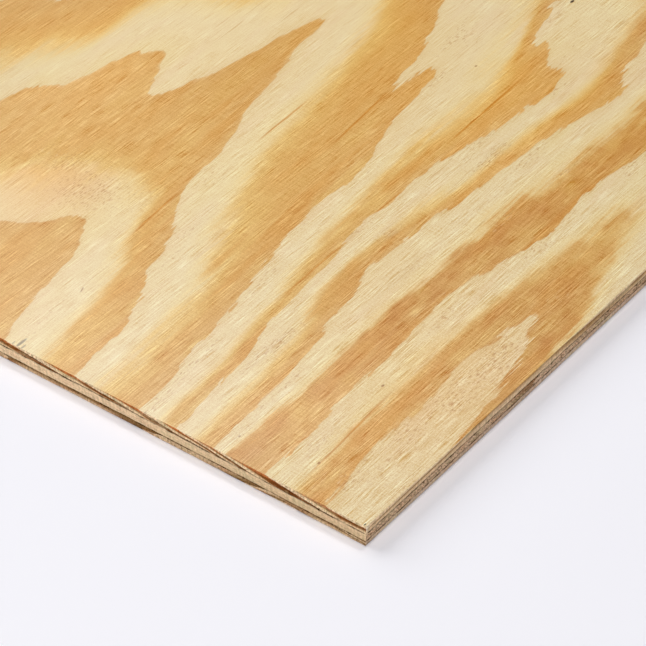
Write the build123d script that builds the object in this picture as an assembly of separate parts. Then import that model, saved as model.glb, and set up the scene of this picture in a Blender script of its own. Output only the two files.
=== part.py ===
from build123d import *
import os

# Three-ply pine plywood sheet, lying flat with its good face up.
# Frame: origin at the centre of the sheet's underside, +Z up out of the good face,
# +Y along the 8 ft side, which is the grain direction of the face and back veneers,
# +X along the 4 ft end.

# ---- driving dimensions, millimetres ----
sheet_width = 1219.0        # 4 ft, across the face grain, along X
sheet_length = 2438.0       # 8 ft, along the face grain, along Y

back_thickness = 3.1        # back veneer, against the floor
core_thickness = 4.4        # crossband veneer in the middle, its grain along X
face_thickness = 4.4        # good face veneer, on top

sheet_thickness = back_thickness + core_thickness + face_thickness   # 11.9, sold as 15/32 in

NODES = {
    # node: (lowest z, thickness)
    "back_veneer": (0.0, back_thickness),
    "core_veneer": (back_thickness, core_thickness),
    "face_veneer": (back_thickness + core_thickness, face_thickness),
}


def veneer(lowest_z, thickness):
    """One rotary-cut veneer of the sheet, sawn square on all four edges."""
    return Pos(0, 0, lowest_z) * Box(
        sheet_width,
        sheet_length,
        thickness,
        align=(Align.CENTER, Align.CENTER, Align.MIN),
    )


os.makedirs("parts", exist_ok=True)
for node, (lowest_z, thickness) in NODES.items():
    solid = veneer(lowest_z, thickness)
    export_step(solid, f"parts/{node}.step")
    print(node, "z", round(lowest_z, 2), "to", round(lowest_z + thickness, 2), "volume", round(solid.volume))
print("sheet", sheet_width, sheet_length, round(sheet_thickness, 2))
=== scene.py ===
import math

import bpy
import numpy as np
from mathutils import Matrix, Vector


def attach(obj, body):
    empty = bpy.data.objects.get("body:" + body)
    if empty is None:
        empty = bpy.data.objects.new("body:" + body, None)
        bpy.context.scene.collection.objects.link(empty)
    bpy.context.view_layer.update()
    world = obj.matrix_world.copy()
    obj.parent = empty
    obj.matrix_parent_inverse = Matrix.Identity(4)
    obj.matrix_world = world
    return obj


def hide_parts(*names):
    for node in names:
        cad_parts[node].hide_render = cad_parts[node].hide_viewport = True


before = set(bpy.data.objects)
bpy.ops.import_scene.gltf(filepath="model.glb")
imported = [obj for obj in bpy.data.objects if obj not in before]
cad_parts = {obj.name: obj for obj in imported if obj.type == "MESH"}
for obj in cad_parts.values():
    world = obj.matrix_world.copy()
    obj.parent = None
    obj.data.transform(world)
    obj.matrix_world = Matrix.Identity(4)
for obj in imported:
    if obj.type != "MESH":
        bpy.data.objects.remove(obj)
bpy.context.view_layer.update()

# Three-ply pine plywood sheet. The row frame is in metres: origin at the centre of the underside,
# +Z out of the good face, +Y along the face grain. The figure is written in millimetres from the
# corner at +X, -Y, the one that the camera looks at: x runs from -1219 to 0 and y from 0 to 2438.
WIDE, LONG = 1.219, 2.438
Z_BACK, Z_CORE, Z_FACE, Z_TOP = 0.0, 0.0031, 0.0075, 0.0119
CORNER = Vector((WIDE / 2, -LONG / 2, 0.0))


# ---------------------------------------------------------------- camera
# A long lens that looks down on the corner. Angles in degrees, distance from the corner in metres.
FOCAL_PX, FRAME_PX = 3300.0, 646.0
PITCH, YAW, ROLL, DISTANCE = 39.50, -35.28, 1.74, 1.5024
CORNER_PX = (365.5, 546.67)


def make_camera():
    p, y, r = (math.radians(a) for a in (PITCH, YAW, ROLL))
    forward = Vector((math.cos(p) * math.sin(y), math.cos(p) * math.cos(y), -math.sin(p)))
    right = Vector((math.cos(y), -math.sin(y), 0.0))
    up = right.cross(forward)
    right2 = math.cos(r) * right + math.sin(r) * up
    up2 = -math.sin(r) * right + math.cos(r) * up
    half = FRAME_PX / 2
    ray = forward + right2 * (CORNER_PX[0] - half) / FOCAL_PX - up2 * (CORNER_PX[1] - half) / FOCAL_PX
    cam = bpy.data.cameras.new("camera")
    cam.sensor_width = 36.0
    cam.lens = FOCAL_PX * 36.0 / FRAME_PX
    cam.clip_start, cam.clip_end = 0.05, 200.0
    ob = bpy.data.objects.new("camera", cam)
    bpy.context.scene.collection.objects.link(ob)
    m = Matrix((right2, up2, -forward)).transposed().to_4x4()
    m.translation = CORNER - ray * DISTANCE
    ob.matrix_world = m
    bpy.context.scene.camera = ob
    return ob


camera = make_camera()


# ---------------------------------------------------------------- growth-ring figure
# The figure is the level of a random field: each whole number is the sharp end of one growth ring.
# Near the corner the field is made to follow these lines: (level, points along the line).
FACE_LINES = [
    (1.0, [(-274, 72), (-268, 75), (-262, 82), (-256, 93), (-250, 97), (-244, 97), (-241, 91), (-237, 86), (-233, 76), (-229, 60), (-226, 48), (-225, 34), (-222, 18), (-217, 2)]),
    (0.78, [(-262, 62), (-248, 48), (-236, 30), (-226, 8)]),
    (2.0, [(-346, 150), (-341, 168), (-334, 178), (-327, 186), (-323, 205), (-319, 228), (-312, 233), (-306, 238), (-300, 229), (-294, 214), (-287, 202), (-281, 212), (-277, 230), (-270, 255),
           (-266, 275), (-264, 296), (-261, 308), (-256, 319), (-254, 308), (-252, 285), (-246, 265), (-241, 240), (-237, 218), (-230, 200), (-226, 180), (-223, 157), (-219, 142), (-213, 130),
           (-207, 123), (-202, 109), (-194, 88), (-187, 75), (-181, 58), (-176, 40), (-174, 25), (-172, 6)]),
    (1.5, [(-190, 0), (-195, 20), (-197, 42), (-201, 62), (-207, 80), (-217, 99), (-226, 119), (-236, 134), (-248, 143)]),
    (1.54, [(-262, 141), (-275, 135), (-287, 127), (-298, 115), (-305, 102)]),
    (1.38, [(-297, 94), (-290, 107), (-279, 118), (-265, 126)]),
    (1.66, [(-310, 108), (-302, 122), (-292, 133), (-278, 142), (-264, 147)]),
    (1.22, [(-216, 62), (-230, 96), (-244, 114), (-262, 112), (-278, 96), (-205, 26), (-290, 84)]),
    (1.76, [(-316, 117), (-305, 134), (-289, 148), (-270, 157), (-250, 167), (-236, 165)]),
    (1.84, [(-321, 150), (-304, 165), (-284, 180), (-262, 194)]),
    (1.89, [(-258, 240), (-257, 256)]),
    (1.93, [(-257, 272), (-258, 290)]),
    (1.89, [(-315, 198), (-310, 214)]),
    (1.92, [(-308, 225)]),
    (2.5, [(-342, 268), (-342, 246), (-343, 224), (-352, 210), (-361, 197), (-366, 180)]),
    (2.8, [(-362, 240), (-380, 215)]),
    (2.5, [(-156, 0), (-159, 28), (-162, 55), (-163, 80), (-168, 100), (-177, 119), (-187, 140), (-196, 160), (-203, 180), (-208, 200), (-212, 220), (-216, 242), (-220, 272), (-226, 302), (-233, 328), (-242, 356)]),
    (2.25, [(-256, 335), (-290, 290), (-322, 262), (-287, 222), (-345, 186), (-236, 300)]),
    (3.0, [(-217, 377), (-210, 360), (-204, 345), (-198, 328), (-193, 310), (-190, 291), (-187, 300), (-183, 313), (-178, 305), (-175, 292), (-172, 270), (-169, 250), (-163, 230), (-159, 212), (-160, 190),
           (-160, 178), (-157, 160), (-156, 144), (-151, 122), (-147, 100), (-142, 75), (-138, 48), (-134, 22), (-133, 0)]),
    (3.08, [(-189.3, 299), (-189.6, 310)]),
    (2.90, [(-182.5, 296), (-180.5, 304), (-197, 304)]),
    (3.10, [(-175, 313), (-185, 325)]),
    (3.5, [(-118, 0), (-121, 30), (-123, 58), (-127, 80), (-130, 105), (-136, 128), (-140, 160), (-143, 195), (-147, 220), (-151, 248), (-148, 270), (-146, 295), (-147, 322), (-154, 345), (-159, 365), (-164, 384), (-175, 402)]),
    (4.0, [(-166, 411), (-162, 396), (-158, 379), (-150, 371), (-141, 362), (-131, 354), (-121, 347), (-121, 330), (-124, 305), (-125, 282), (-131, 262), (-132, 240), (-133, 218), (-132, 198), (-133, 180),
           (-130, 160), (-128, 140), (-124, 112), (-122, 84), (-117, 62), (-114, 40), (-111, 16), (-109, 0)]),
    (4.5, [(-98, 0), (-100, 30), (-102, 64), (-105, 92), (-112, 110), (-117, 132), (-119, 160), (-118, 186), (-115, 210), (-111, 236), (-110, 262), (-110, 290), (-109, 318), (-107, 345), (-110, 368), (-114, 390), (-118, 418)]),
    (5.0, [(-108, 411), (-103, 392), (-99, 372), (-91, 362), (-92, 344), (-96, 326), (-100, 302), (-102, 276), (-104, 244), (-107, 216), (-108, 190), (-110, 160), (-106, 140), (-101, 124), (-99, 102), (-95, 88),
           (-92, 62), (-90, 40), (-88, 12)]),
    (5.5, [(-80, 0), (-80, 40), (-80, 80), (-80, 120), (-79, 160), (-79, 200), (-79, 236), (-75, 258), (-72, 290), (-71, 326), (-68, 350)]),
    (6.0, [(-53, 318), (-57, 300), (-58, 280), (-55, 252), (-54, 230), (-57, 206), (-63, 184), (-65, 160), (-65, 134), (-62, 104), (-61, 76), (-59, 44), (-57, 4)]),
    (6.5, [(-39, 0), (-41, 30), (-42, 62), (-43, 92), (-44, 122), (-45, 150), (-43, 174), (-41, 193), (-40, 208), (-39, 220), (-36, 233), (-34, 246), (-33, 258),
           (-30, 267), (-26, 258), (-21, 238), (-17, 224), (-14, 212), (-10, 201), (-7, 189), (-5, 176), (-4, 163), (-3, 149)]),
    (6.3, [(-20, 282), (-12, 245), (-6, 216)]),
    (6.38, [(-1, 192)]),
    (6.42, [(0, 165)]),
    (6.26, [(-2, 226), (0, 250), (-4, 285)]),
    (7.0, [(-24, 4), (-25, 18), (-30, 32), (-29, 56), (-28, 76), (-30, 104), (-32, 116), (-30, 132), (-28, 150), (-23, 172), (-19, 164), (-15, 152), (-10, 134), (-8, 116), (-4, 102), (-2, 86), (0, 70)]),
    (7.22, [(-14, 12), (-14, 50), (-16, 90), (-20, 128), (-2, 20)]),
]
# How fast the level falls with depth under the face, in rings per mm, at these x along the end.
FACE_DIP = [
    (-1219, 0.24), (-300, 0.20), (-207, 0.20), (-194, 0.21), (-184, 0.235), (-177, 0.25), (-170, 0.30), (-160, 0.33), (-145, 0.34), (-131, 0.27),
    (-127, 0.22), (-121, 0.24), (-113, 0.32), (-107, 0.36), (-101, 0.46), (-91, 0.45), (-82, 0.42), (-77, 0.37), (-72, 0.29), (-65, 0.235),
    (-57, 0.20), (-50, 0.21), (-43, 0.25), (-33, 0.26), (-28, 0.27), (-14, 0.26), (0, 0.28),
]

# The core's lines: pale wood along the photographed end, rings that cross its end grain along the long edge.
CORE_LINES = [
    (2.12, [(-420, 0), (-300, 0), (-190, 0)]),
    (2.26, [(-120, 0)]),
    (2.36, [(-60, 0), (0, 0)]),
    (2.32, [(0, 60), (0, 100)]),
    (2.64, [(0, 124)]),
    (2.80, [(0, 131)]),
    (3.00, [(0, 138)]),
    (3.25, [(0, 165)]),
    (3.46, [(0, 196), (0, 225)]),
    (3.56, [(0, 246), (0, 262)]),
]
# The back veneer's lines in the sawn end, in mm: (level, points (x, height above the floor)).
BACK_END_LINES = [
    (1.0, [(-210, 3.7), (-160, 3.6)]),
    (0.66, [(-210, 1.9), (-185, 2.1), (-160, 2.2)]),
    (0.30, [(-200, 0.6), (-175, 0.8), (-155, 0.5)]),
    (0.66, [(-146, 0.2), (-142, 1.2), (-137, 2.6)]),
    (0.86, [(-140, 0.4), (-133, 1.4), (-127, 2.6)]),
    (1.0, [(-126, 0.2), (-122, 1.4), (-116, 2.9)]),
    (1.25, [(-117, 0.3), (-113, 1.4), (-109, 2.8)]),
    (1.52, [(-117, 0.7), (-111, 1.3)]),
    (1.30, [(-106, 0.6), (-100, 1.6), (-92, 2.6)]),
    (1.40, [(-98, 0.4), (-90, 1.2)]),
    (1.66, [(-80, 0.4), (-74, 1.6), (-66, 2.8)]),
    (2.0, [(-70, 0.3), (-65, 1.2), (-59, 2.6)]),
    (2.30, [(-65, 0.3), (-60, 1.1), (-54, 2.0)]),
    (2.62, [(-61, 0.4), (-56, 1.3), (-48, 2.1), (-36, 2.2), (-24, 2.1), (-12, 1.7), (-2, 1.1)]),
    (3.0, [(-56, 0.4), (-51, 1.0), (-44, 1.6)]),
    (3.0, [(-40, 3.4), (-24, 2.9), (-12, 2.4), (-2, 1.7)]),
    (2.35, [(-30, 0.8), (-15, 0.4)]),
]

# The face veneer's lines in the long edge, in mm: (level, points (y, height above the floor)).
FACE_LONG_LINES = [
    (1.0, [(2, 10.2), (20, 10.5), (45, 10.7), (62, 10.9), (76, 11.3), (86, 11.9)]),
    (0.60, [(2, 9.5), (20, 9.7), (45, 9.9), (62, 10.0), (86, 10.5)]),
    (0.30, [(2, 8.8), (40, 8.9), (80, 9.2)]),
    (1.30, [(5, 11.7), (40, 11.8)]),
    (0.66, [(100, 11.0), (130, 11.1), (150, 11.0)]),
    (0.86, [(100, 11.8), (130, 11.9), (155, 11.7)]),
    (0.40, [(110, 9.8), (140, 9.6), (160, 9.0)]),
    (0.20, [(110, 8.0), (150, 7.8)]),
    (1.0, [(168, 11.9), (180, 11.2), (195, 10.9), (215, 10.8), (240, 11.0), (262, 11.2)]),
    (0.80, [(182, 9.8), (200, 9.4), (220, 9.6), (245, 10.2)]),
    (0.60, [(178, 8.8), (195, 8.0), (215, 8.4), (240, 9.3)]),
    (0.30, [(240, 8.0), (262, 8.6)]),
    (1.25, [(190, 11.9), (240, 11.9)]),
]

ROTARY = [  # (strength in rings, correlation length across the grain, along it, in mm)
    (1.9, 105.0, 420.0),
    (0.22, 26.0, 95.0),
    (0.05, 8.0, 30.0),
]


class Figure:
    """A random field with the proportions of rotary-cut pine, bent to pass through given lines."""

    def __init__(self, layers, lean, seed, mean, lines=(), loose=0.03, waves=140, bends=()):
        self.layers, self.mean, self.bends = layers, mean, list(bends)
        self.c, self.s = math.cos(math.radians(lean)), math.sin(math.radians(lean))
        rng = np.random.default_rng(seed)
        self.waves = []
        for strength, across, along in layers:
            k = rng.normal(size=(waves, 2)) / (across, along)
            phase = rng.uniform(0, 2 * np.pi, waves)
            self.waves.append((strength * math.sqrt(2 / waves), k, phase))
        self.pu = self.pv = np.zeros(0)
        self.weights = np.zeros(0)
        if lines:
            points = np.concatenate([np.array(p, float) for _, p in lines])
            level = np.concatenate([np.full(len(p), v) for v, p in lines])
            self.pu, self.pv = self.turned(points[:, 0], points[:, 1])
            k = self.alike(self.pu, self.pv)[0] + loose**2 * np.eye(len(points))
            self.weights = np.linalg.solve(k, level - self.free(self.pu, self.pv)[0])

    def turned(self, x, y):
        return self.c * x + self.s * y, -self.s * x + self.c * y

    def free(self, u, v):
        value, slope, steep = np.full(len(u), float(self.mean)), np.zeros(len(u)), np.zeros(len(u))
        for strength, k, phase in self.waves:
            for (ku, kv), p in zip(k, phase):
                a = ku * u + kv * v + p
                value += strength * np.cos(a)
                slope -= strength * kv * np.sin(a)
                steep -= strength * ku * np.sin(a)
        return value, slope, steep

    def alike(self, u, v):
        du, dv = u[:, None] - self.pu[None], v[:, None] - self.pv[None]
        value, slope, steep = 0.0, 0.0, 0.0
        for strength, across, along in self.layers + self.bends:
            part = strength**2 * np.exp(-0.5 * (du / across) ** 2 - 0.5 * (dv / along) ** 2)
            value = value + part
            slope = slope - part * dv / along**2
            steep = steep - part * du / across**2
        return value, slope, steep

    def __call__(self, x, y):
        """The level at each point, and how fast it rises along the grain and across it, per mm."""
        u, v = self.turned(np.asarray(x, float), np.asarray(y, float))
        found = self.free(u, v)
        if len(self.weights):
            for i in range(0, len(u), 20000):
                for total, part in zip(found, self.alike(u[i:i + 20000], v[i:i + 20000])):
                    total[i:i + 20000] += part @ self.weights
        return found


face_figure = Figure(ROTARY, 5.0, 3, 4.0, FACE_LINES, bends=[(0.09, 4.5, 15.0)])
core_figure = Figure([(1.5, 105.0, 420.0), (0.15, 22.0, 95.0)], 90.0, 8, 2.6, CORE_LINES)
back_figure = Figure(ROTARY, 0.0, 21, 3.0)
back_end = Figure([(0.9, 22.0, 2.2)], 0.0, 5, 1.8, BACK_END_LINES, waves=40)
face_long = Figure([(0.5, 34.0, 2.0)], 0.0, 6, 0.6, FACE_LONG_LINES, waves=40)


def wavy(seed, lengths, n=24):
    """A smooth random function of one number, between about -1 and 1."""
    rng = np.random.default_rng(seed)
    parts = [(rng.normal(size=n) * 2 * np.pi / length, rng.uniform(0, 2 * np.pi, n)) for length in lengths]

    def value(t):
        t = np.asarray(t, float)
        total = sum(np.cos(np.multiply.outer(t, k) + p).sum(-1) for k, p in parts)
        return total / (math.sqrt(n * len(lengths) / 2) * 2)

    return value


# The glue lines wander about their mean heights: mm above the mean, along the end and along the long edge.
SEAMS = {
    "upper": ([(-1219, 0.1), (-600, 0.0), (-240, 0.2), (-185, 0.35), (-145, 0.6), (-105, 0.5), (-65, 0.35), (-24, 0.1), (0, -0.1)],
              [(0, -0.1), (30, -0.3), (60, -0.2), (150, -0.15), (210, -0.4), (420, -0.2), (2438, 0.1)], 61),
    "lower": ([(-1219, 0.0), (-240, -0.1), (-185, -0.2), (-145, 0.25), (-105, 0.15), (-65, 0.0), (-24, -0.2), (0, -0.2)],
              [(0, -0.2), (30, -0.15), (90, -0.1), (150, 0.2), (210, 0.25), (420, 0.0), (2438, 0.0)], 62),
}


def seam(name, x, y):
    """How far a glue line lies above its mean height at the sheet's rim, in mm."""
    end, side, seed = SEAMS[name]
    return np.interp(x, *np.array(end).T) + np.interp(y, *np.array(side).T) - end[-1][1] + 0.10 * wavy(seed, (60.0, 17.0))(x - y)


def ease(t):
    t = min(max(t, 0.0), 1.0)
    return t * t * (3 - 2 * t)


# ---------------------------------------------------------------- marks on the face
# Soft patches, in mm from the corner: (x, y, half width, half length, strength).
SPECKLED = [
    (-110, 78, 3.5, 22, 1.0), (-113, 268, 4, 20, 0.9), (-93, 165, 3, 20, 0.5), (-117.5, 183, 2.5, 9, 1.0),
    (-260, 118, 24, 22, 0.65), (-284, 128, 24, 18, 0.5), (-236, 128, 14, 22, 0.35), (-17, 124, 10, 30, 0.6),
    (-150, 130, 3, 18, 0.35), (-47, 60, 4, 26, 0.3), (-68, 150, 3, 40, 0.35), (-12, 40, 8, 36, 0.35), (-77.5, 226, 2.5, 20, 0.8),
    (-76, 284, 2.5, 12, 0.8), (-22, 190, 5, 18, 0.45), (-26, 150, 2.5, 18, 0.6), (-20, 132, 7, 26, 0.9), (-17, 96, 8, 16, 0.7),
    (-24, 62, 9, 14, 0.6), (-25, 22, 10, 12, 0.65), (-51, 34, 4, 14, 0.6), (-38, 14, 6, 9, 0.5), (-84, 19, 6, 9, 0.5),
]
STAINED = [
    (-93, 165, 3, 22, 0.7), (-117.3, 184, 2.2, 7, 1.5), (-113, 270, 3.5, 18, 0.6), (-110, 78, 3, 20, 0.7),
    (-262, 118, 18, 16, 0.45),
]
# Thin resin streaks: (x, y of one end, x, y of the other, half width in mm, strength).
RESIN = [
    (-46.5, 92, -41.5, 4, 0.75, 0.85), (-190, 287, -184, 220, 0.8, 0.9), (-218.4, 254, -217.0, 200, 0.7, 0.85),
    (-140.6, 350, -137.6, 254, 0.8, 0.88), (-223, 152, -219, 98, 0.8, 0.9), (-133.2, 188, -133.0, 219, 0.6, 0.85), (-129.4, 100, -131.6, 172, 0.7, 0.85),
    (-130, 122, -126, 98, 0.6, 0.5), (-92, 62, -91, 28, 0.5, 0.45), (-77.3, 11, -75.6, 20, 0.4, 0.6), (-61, 23, -57.6, 37, 0.5, 0.6),
]
# Short dark marks, and painted shade in the small nick at the very corner: (x, y, half width, half length, lean in
# degrees, strength).
MARKS_AND_NICK_SHADE = [
    (-208, 3.5, 0.9, 4.5, 0, 0.8), (-205.2, 1.6, 0.6, 2.6, 0, 0.55), (-211, 1.0, 0.5, 2.2, 4, 0.45), (-159, 415.6, 0.9, 2.0, 0, 1.0),
    (-166, 331, 0.7, 1.1, 0, 0.6), (-52, 85, 0.7, 1.2, 0, 0.7), (-43, 22, 0.7, 1.1, 0, 0.7), (-211, 53, 0.5, 2.2, 20, 0.6), (-83.6, 14.2, 0.5, 0.9, 0, 0.6),
    # Painted shade in the nick at the corner.
    (-1.6, 1.3, 0.35, 1.0, 0, 1.0),
]


def patches(x, y, spots):
    out = np.zeros(len(x))
    for cx, cy, rx, ry, strength in spots:
        out = np.maximum(out, strength * np.exp(-((x - cx) / rx) ** 2 - ((y - cy) / ry) ** 2))
    return out


def elsewhere(x, y):
    """0 on the photographed corner and 1 on the rest of the sheet."""
    t = np.maximum((-x - 300) / 90, (y - 330) / 90).clip(0, 1)
    return t * t * (3 - 2 * t)


def painted_light_and_tone(x, y):
    """Painted light on the corner: the wood is made lighter towards -X, where the key lamp stands, as a painted light
    falloff. A pale painted sheen is added, most by the sawn end, and from about 215 mm in it is taken down a little. On
    the rest of the sheet both are a random tone and pale bloom.
    """
    far = elsewhere(x, y)
    painted_falloff_and_tone = 1.052 + 0.08 * ((-x - 110) / 260).clip(-0.5, 1.0) - 0.03 * np.exp(-((y / 90) ** 2)) * ((-x - 40) / 80).clip(0, 1)
    painted_falloff_and_tone = painted_falloff_and_tone + 0.06 * ((-x - 320) / 60).clip(0, 1)
    painted_sheen_and_bloom = 0.095 * np.exp(-((y / 85) ** 2)) * (1 / (1 + np.exp((x + 62) / 11))) - 0.034 * (1 / (1 + np.exp(-(y - 215) / 38)))
    roam = wavy(41, (900.0, 430.0))(x + 0.7 * y) * wavy(42, (1100.0, 520.0))(y - 0.4 * x)
    return painted_falloff_and_tone * (1 - far) + (1.02 + 0.06 * roam) * far, painted_sheen_and_bloom * (1 - far) + 0.03 * roam * far


# Soft patches where the wood is yellower, and where only the latewood is lighter: (x, y, half width, half length, strength).
WARM = [(-287, 120, 34, 26, 0.32), (-280, 88, 30, 24, 0.15), (-26, 100, 34, 70, 0.17), (-85, 130, 34, 60, 0.06), (-118, 380, 40, 50, 0.05), (-190, 240, 34, 60, 0.08)]
GLOW = [(-150, 320, 44, 70, 0.06), (-355, 200, 60, 60, 0.12), (-180, 10, 50, 60, 0.05), (-100, 270, 24, 50, 0.08), (-75, 60, 40, 50, 0.05),
        (-45, 22, 60, 50, 0.08), (-48, 95, 26, 50, 0.07), (-282, 256, 40, 45, -0.035)]


COOL = [(-40, 40, 60, 100, 0.17), (-105, 20, 40, 50, 0.13), (-66, 6, 24, 30, 0.30), (-106, 264, 26, 40, 0.11), (-106, 160, 26, 50, 0.09), (-60, 130, 40, 60, 0.03), (-310, 130, 50, 60, 0.10)]


def coarseness(x, y):
    """How strongly the fibres show: least at the back left of the corner, most along the long edge."""
    t = ((x + 340) / 310).clip(0, 1)
    u = ((y - 210) / 150).clip(0, 1)
    far = elsewhere(x, y)
    calm = 1 - 0.75 * np.exp(-(((x + 372) / 36) ** 2) - ((y - 222) / 46) ** 2)
    return ((0.60 + 0.75 * t) * (1 - 0.55 * u) * (1 - far) + (0.95 + 0.3 * wavy(43, (500.0, 240.0))(x + 0.5 * y)) * far) * calm


# Where a ring's end is blurred and streaky: (x, y, half width, half length, strength).
FUZZY = [(-10, 138, 9, 34, 1.0), (-21, 168, 8, 12, 0.8), (-188, 306, 5, 14, 0.5), (-131, 300, 5, 30, 0.3), (-101, 372, 6, 24, 0.35)]
# How much deeper and browner each ring's latewood is: (level, share).
DEEP = [(0, 0.0), (4.1, 0.0), (4.35, 0.08), (5.1, 0.08), (5.35, 0.62), (6.1, 0.62), (6.35, 0.46), (7.1, 0.46), (7.4, 0.5), (12, 0.5)]


def raggedness(x, y):
    """How much the rings' sharp ends are broken: little at the back left of the corner, most by (-120, 350)."""
    t = ((x + 250) / 60).clip(0, 1)
    comb = np.exp(-((x + 120) / 16) ** 2 - ((y - 352) / 30) ** 2)
    return (0.30 + 0.70 * t + 0.8 * comb) * (1 - elsewhere(x, y)) + 0.8 * elsewhere(x, y)


def scattered(seed, n, wide, long, strength):
    rng = np.random.default_rng(seed)
    return [(rng.uniform(-1219, 0), rng.uniform(0, 2438), rng.uniform(*wide), rng.uniform(*long), rng.uniform(*strength)) for _ in range(n)]


# ---------------------------------------------------------------- meshes
def lines_of(*spans):
    """Grid lines for spans of (start, stop, step)."""
    out = [spans[0][0]]
    for a, b, step in spans:
        n = max(1, round((b - a) / step))
        out += [a + (b - a) * i / n for i in range(1, n + 1)]
    return np.array(out)


X_FINE = lines_of((-0.6095, 0.1675, 0.007), (0.1675, 0.6015, 0.0031), (0.6015, 0.6095, 0.001))
Y_FINE = lines_of((-1.219, -1.211, 0.001), (-1.211, -0.707, 0.0042), (-0.707, 1.219, 0.0124))
X_COARSE = lines_of((-0.6095, 0.0, 0.012), (0.0, 0.6095, 0.004))
Y_COARSE = lines_of((-1.219, -0.719, 0.005), (-0.719, 1.219, 0.02))


class Skin:
    def __init__(self):
        self.verts, self.faces, self.uv, self.slots = [], [], [], []
        self.count = 0

    def add(self, points):
        points = np.asarray(points, float).reshape(-1, 3)
        self.verts.append(points)
        first, self.count = self.count, self.count + len(points)
        return np.arange(first, self.count)

    def face(self, corners, uv, slot):
        self.faces.append([int(c) for c in corners])
        self.uv += [tuple(p) for p in uv]
        self.slots.append(slot)

    def build(self, name):
        me = bpy.data.meshes.new(name)
        me.from_pydata([tuple(v) for v in np.concatenate(self.verts)], [], self.faces)
        layer = me.uv_layers.new(name="OFBake")
        layer.uv.foreach_set("vector", np.array(self.uv, np.float32).ravel())
        me.polygons.foreach_set("material_index", np.array(self.slots, np.int32))
        me.update()
        return me


def strip_rows(kind):
    """Where each side's strip goes on the map: per side, its chunks (from, to, row low, row high). Sides: 0 is -Y, 1 is +X, 2 is +Y, 3 is -X."""
    if kind == "core":
        rows = [(0.005 + 0.08 * k, 0.075 + 0.08 * k) for k in range(12)]
        quarters, halves = [(i / 4, (i + 1) / 4) for i in range(4)], [(0, 0.5), (0.5, 1)]
        return {
            1: [(*t, *r) for t, r in zip(quarters, rows[0:4])],
            3: [(*t, *r) for t, r in zip(quarters, rows[4:8])],
            0: [(*t, *r) for t, r in zip(halves, rows[8:10])],
            2: [(*t, *r) for t, r in zip(halves, rows[10:12])],
        }
    return {1: [(0, 1, 0.905, 0.920)], 3: [(0, 1, 0.925, 0.940)], 0: [(0, 1, 0.945, 0.960)], 2: [(0, 1, 0.965, 0.980)]}


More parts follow.
